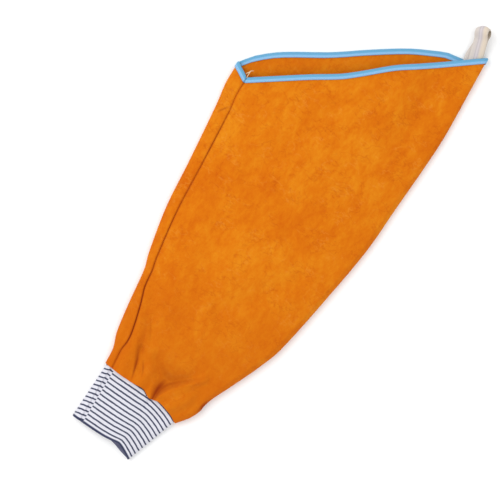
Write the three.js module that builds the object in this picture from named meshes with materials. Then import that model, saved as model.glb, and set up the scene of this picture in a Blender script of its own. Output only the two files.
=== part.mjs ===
// A leather work sleeve laid flat: one suede panel folded round the arm and closed by a seam
// near its inner fold, blue tape round the slanted shoulder opening, a tape loop at the
// opening's tip and a knit cuff at the wrist.
// Millimetres. +Y runs up the sleeve from the wrist, +X across it and +Z up. While it is
// being built, the origin is the middle of the wrist edge, and the back lies on Z = 0.

import * as THREE from 'three';

// The panel's outline, laid flat
const WRIST_WIDTH = 105;
const WRIST_SLANT_DEG = 6;
const INNER_FOLD_LENGTH = 378;
const INNER_FOLD_LEAN_DEG = 11.2;
const INNER_FOLD_BOW = 8.5;
const OUTER_FOLD_LENGTH = 552;
const OUTER_FOLD_LEAN_DEG = 5.8;
const OUTER_FOLD_BOW = 40;
const FRONT_RIM_DROP = 21;
const BACK_RIM_RISE = 16.4;
const WRIST_EDGE_RISE = 7;

// The panel's thickness and how full it lies
const LEATHER = 1.5;
const WRIST_FOLD_HEIGHT = 13;
const RIM_FOLD_HEIGHT = 9;
const LOFT = 26;
const CROWN_ROUNDNESS = 0.8;

// The seam beside the inner fold
const SEAM_STRIP = 12;
const SEAM_DEPTH = 2.6;
const SEAM_HALF_WIDTH = 2.5;

// The tape on the rim
const BINDING_WIDTH = 5.2;
const BINDING_THICKNESS = 0.8;

// The hanging loop
const LOOP_TAPE_WIDTH = 16.5;
const LOOP_TAPE_THICKNESS = 1.2;
const LOOP_LENGTH = 40;
const LOOP_TUCK = 8;
const LOOP_EYE_LENGTH = 17;
const LOOP_EYE_HEIGHT = 11.5;
const LOOP_RISE = 6;
const LOOP_LEAN_DEG = 20;
const LOOP_TWIST_DEG = 27;
const LOOP_FOOT_SPREAD = 5;
const LOOP_FROM_TIP = 13.4;

// The knit cuff
const KNIT = 1.8;
const CUFF_LENGTH = 68;
const CUFF_TUCK = 8;
const CUFF_END_WIDTH = 82.5;
const CUFF_END_SHIFT = 7.5;
const CUFF_END_SLANT_DEG = 3.7;
const CUFF_FOLD_HEIGHT = 9;
const CUFF_LOFT = 13;
const CUFF_RIDGE = 2.5;
const CUFF_RIDGE_TOP = 0.56;
const CUFF_RIDGE_END = 0.7;
const CUFF_RIDGE_REACH = 0.3;
const CUFF_SEAM_STRIP = 4;
const CUFF_END_RISE = 7;

// Room left between pieces that are sewn together
const SEWN_GAP = 0.5;
const TUCK_GAP = 0.5;

// Each fold's curve. along: share of the fold's length; out: share of its bow.
const INNER_FOLD_CURVE = [
  { along: 0, out: 0 },
  { along: 0.05, out: -0.13 },
  { along: 0.1, out: 0.28 },
  { along: 0.2, out: 0.37 },
  { along: 0.31, out: 0.32 },
  { along: 0.36, out: 0.65 },
  { along: 0.51, out: 1 },
  { along: 0.67, out: 0.66 },
  { along: 0.86, out: 0.38 },
  { along: 0.93, out: 0.4 },
  { along: 1, out: 0 },
];
const OUTER_FOLD_CURVE = [
  { along: 0, out: 0.04 },
  { along: 0.014, out: 0.155 },
  { along: 0.03, out: 0.27 },
  { along: 0.052, out: 0.355 },
  { along: 0.066, out: 0.352 },
  { along: 0.086, out: 0.385 },
  { along: 0.13, out: 0.555 },
  { along: 0.2, out: 0.81 },
  { along: 0.26, out: 0.96 },
  { along: 0.43, out: 1 },
  { along: 0.54, out: 0.97 },
  { along: 0.64, out: 0.82 },
  { along: 0.75, out: 0.66 },
  { along: 0.82, out: 0.53 },
  { along: 0.93, out: 0.21 },
  { along: 1, out: 0 },
];

// The rim's dip on the front, between the seam and the outer tip, and its rise on the back.
const FRONT_RIM_CURVE = [
  { across: 0, drop: 1 },
  { across: 0.12, drop: 0.96 },
  { across: 0.27, drop: 0.91 },
  { across: 0.41, drop: 0.91 },
  { across: 0.49, drop: 0.76 },
  { across: 0.62, drop: 0.42 },
  { across: 0.72, drop: 0.33 },
  { across: 0.85, drop: 0.16 },
  { across: 1, drop: -0.05 },
];
const BACK_RIM_CURVE = [
  { across: 0, rise: 0 },
  { across: 0.03, rise: 0.3 },
  { across: 0.06, rise: 0.49 },
  { across: 0.13, rise: 0.72 },
  { across: 0.2, rise: 0.76 },
  { across: 0.34, rise: 0.71 },
  { across: 0.41, rise: 0.77 },
  { across: 0.48, rise: 0.885 },
  { across: 0.65, rise: 1 },
  { across: 0.76, rise: 0.8 },
  { across: 0.825, rise: 0.6 },
  { across: 0.883, rise: 0.165 },
  { across: 0.93, rise: -0.09 },
  { across: 1, rise: 0 },
];

// The wrist edge's curve, with the pleat's step near its middle.
const FRONT_WRIST_CURVE = [
  { across: 0, rise: 0 },
  { across: 0.11, rise: 0.12 },
  { across: 0.34, rise: 0.45 },
  { across: 0.5, rise: 0.95 },
  { across: 0.61, rise: 0.4 },
  { across: 0.72, rise: 1 },
  { across: 0.88, rise: 0.7 },
  { across: 1, rise: 0 },
];
const BACK_WRIST_CURVE = [
  { across: 0, rise: 0 },
  { across: 0.5, rise: 0.7 },
  { across: 1, rise: 0 },
];

// The curves of the cuff's end.
const CUFF_FRONT_END_CURVE = [
  { across: 0, rise: 0 },
  { across: 0.2, rise: 0.2 },
  { across: 0.5, rise: 0.6 },
  { across: 0.74, rise: 1 },
  { across: 1, rise: 0 },
];
const CUFF_BACK_END_CURVE = [
  { across: 0, rise: 0 },
  { across: 0.2, rise: 0.2 },
  { across: 0.5, rise: 0.55 },
  { across: 0.68, rise: 0.62 },
  { across: 0.84, rise: 0.26 },
  { across: 1, rise: 0 },
];

// How full the front lies. height: share of the loft above the folds.
const LOFT_ALONG = [
  { along: 0, height: 0.16 },
  { along: 0.08, height: 0.3 },
  { along: 0.2, height: 0.7 },
  { along: 0.45, height: 1 },
  { along: 0.75, height: 0.9 },
  { along: 1, height: 0.5 },
];

// The flat strip between the inner fold and the seam. width: share of the widest.
const STRIP_ALONG = [
  { along: 0, width: 0.12 },
  { along: 0.03, width: 0.05 },
  { along: 0.06, width: 0.12 },
  { along: 0.095, width: 0.6 },
  { along: 0.13, width: 0.69 },
  { along: 0.21, width: 0.4 },
  { along: 0.265, width: 0.06 },
  { along: 0.32, width: 0.12 },
  { along: 0.38, width: 0.27 },
  { along: 0.525, width: 0.53 },
  { along: 0.7, width: 0.73 },
  { along: 0.78, width: 0.84 },
  { along: 0.9, width: 0.98 },
  { along: 1, width: 0.975 },
];

// Gathers and creases on the front. Each runs from one place to another, as shares along and
// across the panel; reach is its half width and height how far it stands up, in millimetres.
const FOLDS = [
  { name: 'gather beside the seam', from: [0, 0.2], to: [0.1, 0.17], reach: 13, height: 2.6 },
  { name: 'gather before the pleat', from: [0, 0.43], to: [0.06, 0.4], reach: 12, height: 3.6 },
  { name: 'lobe over the cuff', from: [0, 0.79], to: [0.06, 0.82], reach: 21, height: 5 },
  { name: 'lit edge of the lobe', from: [0.03, 0.65], to: [0.12, 0.81], reach: 8, height: 3 },
  { name: 'hollow above the lobe', from: [0.1, 0.44], to: [0.09, 0.6], reach: 16, height: -3.5 },
  { name: 'crease from the pleat', from: [0.05, 0.31], to: [0.1, 0.25], reach: 6, height: -2.5 },
  { name: 'crease up the strip side', from: [0.125, 0.29], to: [0.2, 0.2], reach: 7, height: -1.6 },
  { name: 'soft fold across the elbow', from: [0.3, 0.55], to: [0.42, 0.8], reach: 22, height: -2 },
  { name: 'soft fold up the forearm', from: [0.22, 0.4], to: [0.5, 0.3], reach: 26, height: -2 },
  { name: 'soft fold near the rim', from: [0.66, 0.3], to: [0.86, 0.5], reach: 24, height: -2 },
];

// How finely the surfaces are cut
const WRIST_ROWS = 9;
const WRIST_ZONE = 0.13;
const BODY_ROWS = 17;
const BACK_COLUMNS = 14;
const ROUND_COLUMNS = 6;
const STRIP_COLUMNS = 2;
const FRONT_COLUMNS = 32;
const CUFF_ROWS = 9;
const LOOP_ROWS = 18;
const LOOP_TURN_ROWS = 8;

// The share of the length over which the rim's and the wrist edge's curves fade out
const RIM_FADE = 0.25;
const WRIST_FADE = 0.09;
const RIM_BAND = 20 / INNER_FOLD_LENGTH;

// Where the front settles onto the back near the outer tip: from and to, as shares
const PINCH_ALONG = [0.7, 0.93];
const PINCH_ACROSS = [0.72, 0.86];

// Where the cuff's ridge grows and the cuff settles to its end's height: shares of its length
const RIDGE_GROWS = [0.05, 0.5];
const CUFF_SETTLES = [0, 0.4];

// How far a corner may stretch to keep a wall's thickness: the least cosine and the least sine
const MITRE_LIMIT = 0.7;
const SLANT_LIMIT = 0.5;

const rad = THREE.MathUtils.degToRad;
const mix = THREE.MathUtils.lerp;
const smooth = THREE.MathUtils.smoothstep;
const Z = new THREE.Vector3(0, 0, 1);
const CORNERS = [
  [-1, -1],
  [-1, 1],
  [1, 1],
  [1, -1],
];

// A smooth curve through a table's rows.
function curve(table, at, key, value) {
  const last = table.length - 1;
  const place = THREE.MathUtils.clamp(at, table[0][key], table[last][key]);
  let row = 0;
  while (row < last - 1 && place > table[row + 1][key]) row += 1;
  const slope = (i) => {
    const before = table[Math.max(i - 1, 0)];
    const after = table[Math.min(i + 1, last)];
    return (after[value] - before[value]) / (after[key] - before[key]);
  };
  const [a, b] = [table[row], table[row + 1]];
  const span = b[key] - a[key];
  const t = (place - a[key]) / span;
  const rise = slope(row) * span * t * (1 - t) ** 2 - slope(row + 1) * span * t * t * (1 - t);
  return mix(a[value], b[value], t * t * (3 - 2 * t)) + rise;
}

// The two folds, seen from above.
const wristHalf = new THREE.Vector3(
  Math.cos(rad(WRIST_SLANT_DEG)),
  -Math.sin(rad(WRIST_SLANT_DEG)),
  0,
).multiplyScalar(WRIST_WIDTH / 2);
const upInner = new THREE.Vector3(
  -Math.sin(rad(INNER_FOLD_LEAN_DEG)),
  Math.cos(rad(INNER_FOLD_LEAN_DEG)),
  0,
);
const upOuter = new THREE.Vector3(
  Math.sin(rad(OUTER_FOLD_LEAN_DEG)),
  Math.cos(rad(OUTER_FOLD_LEAN_DEG)),
  0,
);
const outOfInner = new THREE.Vector3(-upInner.y, upInner.x, 0);
const outOfOuter = new THREE.Vector3(upOuter.y, -upOuter.x, 0);

function innerFold(along) {
  const bow = INNER_FOLD_BOW * curve(INNER_FOLD_CURVE, along, 'along', 'out');
  return wristHalf
    .clone()
    .negate()
    .addScaledVector(upInner, INNER_FOLD_LENGTH * along)
    .addScaledVector(outOfInner, bow);
}

function outerFold(along) {
  const bow = OUTER_FOLD_BOW * curve(OUTER_FOLD_CURVE, along, 'along', 'out');
  return wristHalf
    .clone()
    .addScaledVector(upOuter, OUTER_FOLD_LENGTH * along)
    .addScaledVector(outOfOuter, bow);
}

function flatPlace(along, across) {
  return innerFold(along).lerp(outerFold(along), across);
}

// How far the folds near a place lift the front.
const foldLines = FOLDS.map((fold) => ({
  ...fold,
  line: new THREE.Line3(flatPlace(...fold.from), flatPlace(...fold.to)),
}));

function foldLift(place) {
  const nearest = new THREE.Vector3();
  let lift = 0;
  for (const { line, reach, height } of foldLines) {
    line.closestPointToPoint(place, true, nearest);
    lift += height * (1 - smooth(nearest.distanceTo(place), 0, reach));
  }
  return lift;
}

const rimLift = SEWN_GAP + BINDING_THICKNESS;

const foldHeight = (along) => mix(WRIST_FOLD_HEIGHT, RIM_FOLD_HEIGHT, along);
const foldReach = (along) => foldHeight(along) / 2;
const baseLift = (along) => rimLift * smooth(along, 1 - 2 * RIM_BAND, 1 - RIM_BAND);
const seamPlace = (along) =>
  foldReach(along) + SEAM_HALF_WIDTH + SEAM_STRIP * curve(STRIP_ALONG, along, 'along', 'width');

// The front's height over the table, away from the rounds of the folds.
function frontHeight(along, across) {
  const full = (LOFT - WRIST_FOLD_HEIGHT) * curve(LOFT_ALONG, along, 'along', 'height');
  const pinch = smooth(along, ...PINCH_ALONG) * smooth(across, ...PINCH_ACROSS);
  const crown = Math.sin(Math.PI * across) ** CROWN_ROUNDNESS * (1 - pinch);
  return baseLift(along) + foldHeight(along) + full * crown;
}

// A flat tube's section, clockwise as seen looking up the sleeve: x across from the inner
// fold, z up. The back runs from the outer fold to the inner, then the front runs back. The
// seam is a narrow valley in the front.
function tubeSection({ width, round, low, seam, height }) {
  const section = [];
  const add = (x, z, side) => section.push({ x, z, side, across: x / width });
  for (let i = 0; i < BACK_COLUMNS; i += 1) {
    add(mix(width - round, round, i / BACK_COLUMNS), low, 'back');
  }
  for (let i = 0; i < ROUND_COLUMNS; i += 1) {
    const turn = (Math.PI * i) / ROUND_COLUMNS;
    const side = 2 * i < ROUND_COLUMNS ? 'back' : 'front';
    add(round * (1 - Math.sin(turn)), low + round * (1 - Math.cos(turn)), side);
  }
  for (let i = 0; i <= STRIP_COLUMNS; i += 1) {
    const x = mix(round, seam - SEAM_HALF_WIDTH, i / STRIP_COLUMNS);
    add(x, height(x / width), 'front');
  }
  add(seam, height(seam / width) - SEAM_DEPTH, 'front');
  for (let i = 0; i <= FRONT_COLUMNS; i += 1) {
    const x = mix(seam + SEAM_HALF_WIDTH, width - round, i / FRONT_COLUMNS);
    add(x, height(x / width), 'front');
  }
  for (let i = 1; i < ROUND_COLUMNS; i += 1) {
    const turn = (Math.PI * i) / ROUND_COLUMNS;
    const side = 2 * i > ROUND_COLUMNS ? 'back' : 'front';
    add(width - round * (1 - Math.sin(turn)), low + round * (1 + Math.cos(turn)), side);
  }
  return section;
}

function panelSection(along, width) {
  return tubeSection({
    width,
    round: foldReach(along),
    low: baseLift(along),
    seam: seamPlace(along),
    height: (across) => frontHeight(along, across),
  });
}

// The inward direction at each point of a section, long enough to keep the wall's thickness.
function inwards(section) {
  const count = section.length;
  const edges = section.map((point, i) => {
    const next = section[(i + 1) % count];
    return new THREE.Vector2(next.z - point.z, point.x - next.x).normalize();
  });
  return section.map((point, i) => {
    const before = edges[(i + count - 1) % count];
    const middle = before.clone().add(edges[i]).normalize();
    return middle.divideScalar(Math.max(middle.dot(before), MITRE_LIMIT));
  });
}

// How far a place on the section is shifted up the sleeve by the rim's and the wrist's curves.
function shiftAlong(along, x, across, side, width) {
  const nearRim = smooth(along, 1 - RIM_FADE, 1);
  const nearWrist = 1 - smooth(along, 0, WRIST_FADE);
  const seam = seamPlace(along);
  if (side === 'back') {
    const rim = BACK_RIM_RISE * curve(BACK_RIM_CURVE, across, 'across', 'rise');
    const wrist = WRIST_EDGE_RISE * curve(BACK_WRIST_CURVE, across, 'across', 'rise');
    return rim * nearRim + wrist * nearWrist;
  }
  const past = (x - seam) / (width - seam);
  const dip = past < 0 ? x / seam : curve(FRONT_RIM_CURVE, past, 'across', 'drop');
  const wrist = WRIST_EDGE_RISE * curve(FRONT_WRIST_CURVE, across, 'across', 'rise');
  return -FRONT_RIM_DROP * dip * nearRim + wrist * nearWrist;
}

// One closed ring of points round the panel at a station, moved inwards by a distance.
function panelRing(along, inset, withFolds) {
  const left = innerFold(along);
  const span = outerFold(along).sub(left);
  const width = span.length();
  const across = span.normalize();
  const section = panelSection(along, width);
  const inward = inwards(section);
  return section.map((point, i) => {
    const up = upInner.clone().lerp(upOuter, point.across).normalize();
    const shift = shiftAlong(along, point.x, point.across, point.side, width);
    const place = left.clone().addScaledVector(across, point.x).addScaledVector(up, shift);
    const flat = point.side === 'front' && point.x > foldReach(along);
    const fade = smooth(width - point.x, foldReach(along), 3 * foldReach(along));
    const lift = withFolds && flat ? foldLift(place) * fade : 0;
    place.addScaledVector(across, inward[i].x * inset);
    place.z = point.z + lift + inward[i].y * inset;
    return place;
  });
}

// A closed skin from rings of points, closed both round each ring and from last to first.
function closedSkin(rings) {
  const round = rings[0].length;
  const positions = rings.flat().flatMap((point) => point.toArray());
  const faces = [];
  rings.forEach((ring, r) => {
    const next = (r + 1) % rings.length;
    for (let c = 0; c < round; c += 1) {
      const beside = (c + 1) % round;
      const [a, b] = [r * round + c, r * round + beside];
      const [d, e] = [next * round + c, next * round + beside];
      faces.push(a, b, e, a, e, d);
    }
  });
  return skin(positions, faces);
}

function skin(positions, faces) {
  const geometry = new THREE.BufferGeometry();
  geometry.setAttribute('position', new THREE.Float32BufferAttribute(positions, 3));
  geometry.setIndex(faces);
  geometry.computeVertexNormals();
  return geometry;
}

function named(name, geometry, colour, roughness) {
  const material = new THREE.MeshStandardMaterial({ color: colour, roughness, metalness: 0 });
  const mesh = new THREE.Mesh(geometry, material);
  mesh.name = name;
  return mesh;
}

const tuckStation = CUFF_TUCK / INNER_FOLD_LENGTH;
const rimStation = 1 - RIM_BAND;
const stations = [0];
for (let i = 0; i <= WRIST_ROWS; i += 1) {
  stations.push(mix(tuckStation, WRIST_ZONE, i / WRIST_ROWS));
}
for (let i = 1; i <= BODY_ROWS; i += 1) {
  stations.push(mix(WRIST_ZONE, rimStation, i / BODY_ROWS));
}
stations.push(1);

const outside = stations.map((along) => panelRing(along, 0, true));
const inside = stations.map((along) => panelRing(along, LEATHER, true));

function sleevePanel() {
  return closedSkin([...outside, ...inside.toReversed()]);
}

// The tape lies along both faces of the rim and over its edge. Each of its rings runs round
// the rim; a leg's end is measured square to the rim.
function rimBinding() {
  const last = stations.length - 1;
  const [outEdge, inEdge] = [outside[last], inside[last]];
  const [outBelow, inBelow] = [outside[last - 1], inside[last - 1]];
  const count = outEdge.length;
  const near = SEWN_GAP;
  const far = SEWN_GAP + BINDING_THICKNESS;
  const columns = outEdge.map((edge, i) => {
    const before = outEdge[(i + count - 1) % count];
    const after = outEdge[(i + 1) % count];
    const up = edge.clone().sub(outBelow[i]);
    const length = up.length();
    up.normalize();
    const rim = after.clone().sub(before).normalize();
    const square = Math.max(up.clone().cross(rim).length(), SLANT_LIMIT);
    const leg = Math.min(BINDING_WIDTH / square / length, 1);
    const out = edge.clone().sub(inEdge[i]);
    out.addScaledVector(up, -out.dot(up)).divideScalar(LEATHER);
    const at = (edgePoint, belowPoint, share, away, over) =>
      edgePoint
        .clone()
        .lerp(belowPoint, share)
        .addScaledVector(out, away)
        .addScaledVector(up, over);
    return [
      at(edge, outBelow[i], leg, far, 0),
      at(edge, outBelow[i], 0, far, 0),
      at(edge, outBelow[i], 0, near, far),
      at(inEdge[i], inBelow[i], 0, -near, far),
      at(inEdge[i], inBelow[i], 0, -far, 0),
      at(inEdge[i], inBelow[i], leg, -far, 0),
      at(inEdge[i], inBelow[i], leg, -near, 0),
      at(inEdge[i], inBelow[i], 0, -near, near),
      at(edge, outBelow[i], 0, near, near),
      at(edge, outBelow[i], leg, near, 0),
    ];
  });
  return closedSkin(columns[0].map((point, r) => columns.map((column) => column[r])));
}

// The knit's ring at the cuff's end, which lies flat on its own slanted line.
function cuffEndRing(inset) {
  const slant = rad(CUFF_END_SLANT_DEG);
  const across = new THREE.Vector3(Math.cos(slant), -Math.sin(slant), 0);
  const left = new THREE.Vector3(-CUFF_END_SHIFT, -CUFF_LENGTH, 0);
  left.addScaledVector(across, -CUFF_END_WIDTH / 2);
  const round = CUFF_FOLD_HEIGHT / 2;
  const section = tubeSection({
    width: CUFF_END_WIDTH,
    round,
    low: 0,
    seam: round + SEAM_HALF_WIDTH + CUFF_SEAM_STRIP,
    height: (share) => CUFF_FOLD_HEIGHT + (CUFF_LOFT - CUFF_FOLD_HEIGHT) * Math.sin(Math.PI * share),
  });
  const inward = inwards(section);
  return section.map((point, i) => {
    const place = left.clone().addScaledVector(across, point.x + inward[i].x * inset);
    const table = point.side === 'front' ? CUFF_FRONT_END_CURVE : CUFF_BACK_END_CURVE;
    place.y += CUFF_END_RISE * curve(table, point.across, 'across', 'rise');
    place.z = point.z + inward[i].y * inset;
    return place;
  });
}

// The cuff's rings blend from the leather's wrist edge, inside which its top is tucked, to
// its end. A soft ridge runs down it from the pleat.
function cuffRings(inset) {
  const room = LEATHER + TUCK_GAP + inset;
  const edge = panelRing(0, room, false);
  const end = cuffEndRing(inset);
  const shares = panelSection(0, WRIST_WIDTH);
  const rings = [];
  for (let row = CUFF_ROWS; row >= 0; row -= 1) {
    const down = row / CUFF_ROWS;
    const ridgePlace = mix(CUFF_RIDGE_TOP, CUFF_RIDGE_END, down);
    const ridge = CUFF_RIDGE * smooth(down, ...RIDGE_GROWS);
    rings.push(
      edge.map((point, i) => {
        const { side, across } = shares[i];
        const place = point.clone().lerp(end[i], down);
        const near = 1 - smooth(Math.abs(across - ridgePlace), 0, CUFF_RIDGE_REACH);
        place.z = mix(point.z, end[i].z, smooth(down, ...CUFF_SETTLES));
        place.z += side === 'front' ? ridge * near : 0;
        return place;
      }),
    );
  }
  return [...rings, panelRing(tuckStation, room, false)];
}

function knitCuff() {
  return closedSkin([...cuffRings(0), ...cuffRings(KNIT).toReversed()]);
}

// The loop's tape goes up from between the rim's two layers, turns over in an eye and comes
// back down. It twists as it rises, so that the eye shows from above.
function hangingLoop() {
  const tip = outerFold(1);
  const rim = innerFold(1).sub(tip).normalize();
  const lean = rad(LOOP_LEAN_DEG);
  const up = new THREE.Vector3(-Math.sin(lean), Math.cos(lean), 0);
  const base = tip.addScaledVector(rim, LOOP_FROM_TIP);
  base.z = rimLift + RIM_FOLD_HEIGHT / 2;
  const legHalf = (LOOP_TAPE_THICKNESS + SEWN_GAP) / 2;
  const eyeHalf = (LOOP_EYE_HEIGHT - LOOP_TAPE_THICKNESS) / 2;
  const turnStart = LOOP_LENGTH - LOOP_TAPE_THICKNESS / 2 - eyeHalf;
  const eyeStart = LOOP_LENGTH - LOOP_EYE_LENGTH;
  const path = [];
  for (let i = 0; i <= LOOP_ROWS; i += 1) {
    const height = mix(-LOOP_TUCK, turnStart, i / LOOP_ROWS);
    path.push([height, mix(legHalf, eyeHalf, smooth(height, eyeStart, turnStart))]);
  }
  const legs = path.map(([height, half]) => [height, -half]).toReversed();
  for (let i = 1; i < LOOP_TURN_ROWS; i += 1) {
    const turn = (Math.PI * i) / LOOP_TURN_ROWS;
    path.push([turnStart + eyeHalf * Math.sin(turn), eyeHalf * Math.cos(turn)]);
  }
  path.push(...legs);
  const rings = path.map(([height, out], i) => {
    const before = path[Math.max(i - 1, 0)];
    const after = path[Math.min(i + 1, path.length - 1)];
    const run = new THREE.Vector2(after[0] - before[0], after[1] - before[1]).normalize();
    const twist = rad(LOOP_TWIST_DEG) * smooth(height, 0, turnStart);
    const wide = new THREE.Vector3().crossVectors(up, Z).applyAxisAngle(up, -twist);
    const thick = Z.clone().applyAxisAngle(up, -twist);
    const spread = out < 0 ? LOOP_FOOT_SPREAD * (1 - smooth(height, 0, eyeStart)) : 0;
    const centre = base.clone().addScaledVector(up, height).addScaledVector(thick, out);
    centre.addScaledVector(wide, -spread);
    centre.z += LOOP_RISE * smooth(height, 0, turnStart);
    const face = thick.clone().multiplyScalar(run.x).addScaledVector(up, -run.y);
    return CORNERS.map(([w, t]) =>
      centre
        .clone()
        .addScaledVector(wide, (w * LOOP_TAPE_WIDTH) / 2)
        .addScaledVector(face, (t * LOOP_TAPE_THICKNESS) / 2),
    );
  });
  return band(rings);
}

// A band from four-cornered rings, closed at both ends.
function band(rings) {
  const positions = rings.flat().flatMap((point) => point.toArray());
  const faces = [];
  for (let r = 0; r < rings.length - 1; r += 1) {
    for (let c = 0; c < 4; c += 1) {
      const [a, b] = [4 * r + c, 4 * r + ((c + 1) % 4)];
      faces.push(a, b, b + 4, a, b + 4, a + 4);
    }
  }
  const last = 4 * (rings.length - 1);
  faces.push(0, 2, 1, 0, 3, 2, last, last + 1, last + 2, last, last + 2, last + 3);
  return skin(positions, faces);
}

const sleeve = new THREE.Group();
sleeve.name = 'welding_sleeve';
sleeve.add(named('sleeve_panel', sleevePanel(), '#e27c12', 0.9));
sleeve.add(named('rim_binding', rimBinding(), '#8cbfe0', 0.6));
sleeve.add(named('hanging_loop', hangingLoop(), '#e1d7cd', 0.85));
sleeve.add(named('knit_cuff', knitCuff(), '#ebebf5', 0.9));

// The origin is the bottom centre of the whole sleeve's box.
const box = new THREE.Box3().setFromObject(sleeve);
const centre = box.getCenter(new THREE.Vector3());
for (const piece of sleeve.children) piece.geometry.translate(-centre.x, -centre.y, -box.min.z);

export default sleeve;
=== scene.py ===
"""The look of a leather work sleeve lying flat: suede panel, blue tape, cream loop, knit cuff."""

import math

import bpy
import numpy as np
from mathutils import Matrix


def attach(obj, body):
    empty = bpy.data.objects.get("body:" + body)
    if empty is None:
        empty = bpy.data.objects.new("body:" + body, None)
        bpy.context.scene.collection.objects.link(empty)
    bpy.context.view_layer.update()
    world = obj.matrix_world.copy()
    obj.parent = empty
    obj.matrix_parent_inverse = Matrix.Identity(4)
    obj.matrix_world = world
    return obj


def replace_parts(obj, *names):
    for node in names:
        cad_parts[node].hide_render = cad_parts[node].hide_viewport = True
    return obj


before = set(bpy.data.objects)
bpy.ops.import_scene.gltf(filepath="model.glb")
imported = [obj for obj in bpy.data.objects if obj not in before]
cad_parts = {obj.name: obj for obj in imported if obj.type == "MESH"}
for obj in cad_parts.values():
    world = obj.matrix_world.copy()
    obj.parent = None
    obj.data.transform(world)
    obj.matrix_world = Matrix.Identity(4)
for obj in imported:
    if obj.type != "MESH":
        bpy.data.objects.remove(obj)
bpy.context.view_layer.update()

# Millimetres until a piece is made; ORIGIN is the frame's origin as seen from the middle of
# the wrist edge.
MM = 0.001
ORIGIN = np.array([-2.82, 252.55, 0.0])

# The panel's outline, laid flat
WRIST_WIDTH = 105
WRIST_SLANT = math.radians(6)
INNER_FOLD_LENGTH = 378
INNER_FOLD_LEAN = math.radians(11.2)
INNER_FOLD_BOW = 8.5
OUTER_FOLD_LENGTH = 552
OUTER_FOLD_LEAN = math.radians(5.8)
OUTER_FOLD_BOW = 40
FRONT_RIM_DROP = 21
BACK_RIM_RISE = 16.4
WRIST_EDGE_RISE = 7

# The panel's thickness and how full it lies; the outer tip is pinched flat, over these shares
# along and across.
LEATHER = 1.5
WRIST_FOLD_HEIGHT = 13
RIM_FOLD_HEIGHT = 9
LOFT = 26
CROWN_ROUNDNESS = 0.8
PINCH_ALONG = (0.7, 0.93)
PINCH_ACROSS = (0.72, 0.86)

# Shares along the sleeve where the rim's curves start, and where the wrist's and its gathers end
RIM_CURVE_FROM = 0.75
WRIST_CURVE_TO = 0.09
GATHERS_TO = 0.2

# The seam beside the inner fold: a soft valley with a cleft in it, and a thin dark line in a wider
# shade, both painted into the suede's colour as shade
SEAM_STRIP = 12
SEAM_DEPTH = 2.8
SEAM_HALF_WIDTH = 2.5
SEAM_VALLEY_SHARE = 0.5
SEAM_CLEFT_SHARE = 0.22
SEAM_CLEFT_HALF_WIDTH = 0.8
SEAM_LINE_WIDTH = 0.7
SEAM_LINE_SHARE = 0.8
SEAM_SHADE_WIDTH = 2.4

# How strongly the mesh's columns crowd towards the seam, how far a wall's corners are mitred, and
# within how many of its radii from the outer fold the gathers fade out
SEAM_CROWDING = 2
MITRE_LIMIT = 0.7
GATHERS_FADE = 3

# Painted shade: a dark sliver where the back layer shows past the outer fold above the wrist
SLIVER_ALONG = 0.066
SLIVER_LENGTH = 0.016
SLIVER_WIDTH = (2.2, 4)
SLIVER_SHADE = 0.9

# The tape on the rim. The leather below the rim gives way to it over RIM_BAND. Where the rim
# slants, the tape's legs are longer, up to LEG_STRETCH times its width. Its stitches run at
# STITCH_LINE, a share of its width, and STITCH_SPAN is each one's stretch of its pitch.
BINDING_WIDTH = 5.2
BINDING_THICKNESS = 0.8
BINDING_BULGE = 0.12
RIM_BAND = 20
LEG_STRETCH = 2
STITCH_LINE = 0.76
STITCH_DIP = 0.25
STITCH_PITCH = 3.0
STITCH_ARCH = 0.22
STITCH_SPAN = (0.08, 0.88)
JOIN_WIDTH = 1.8
JOIN_DARKNESS = 0.9

# The hanging loop
LOOP_TAPE_WIDTH = 16.5
LOOP_TAPE_THICKNESS = 1.2
LOOP_LENGTH = 40
LOOP_TUCK = 8
LOOP_EYE_LENGTH = 17
LOOP_EYE_HEIGHT = 11.5
LOOP_RISE = 6
LOOP_LEAN = math.radians(20)
LOOP_TWIST = math.radians(27)
LOOP_FOOT_SPREAD = 5
LOOP_FROM_TIP = 13.4
LOOP_CORNER_DROP = 3.4

# The knit cuff. Its ridge rises between two shares of the way down it, and by CUFF_FLAT_BY it
# lies as low as its end.
KNIT = 1.8
CUFF_LENGTH = 68
CUFF_TUCK = 8
CUFF_END_WIDTH = 82.5
CUFF_END_SHIFT = 7.5
CUFF_END_SLANT = math.radians(3.7)
CUFF_FOLD_HEIGHT = 9
CUFF_LOFT = 13
CUFF_RIDGE = 2.5
CUFF_RIDGE_TOP = 0.56
CUFF_RIDGE_END = 0.7
CUFF_RIDGE_REACH = 0.3
CUFF_RIDGE_RISES = (0.05, 0.5)
CUFF_FLAT_BY = 0.4
CUFF_SEAM_STRIP = 4
CUFF_END_RISE = 7
HEM_FROM = 0.965
HEM_FULL = 0.974

# The cuff's stripes, in numbers of stripes, and how far their step lies from the leather's seam
STRIPES = 12.9
STRIPE_STEP = 0.5
STRIPE_STEP_SHIFT = (2.4, 3.8)
STRIPE_PHASE_AT_FOLD = 0.3

# Room between pieces: where they are sewn together, under the tape, and round the tucked cuff
SEWN_GAP = 0.5
TAPE_GAP = 0.2
TUCK_GAP = 0.5

# A height or distance that nothing on the sleeve reaches
FAR = 99.0

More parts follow.
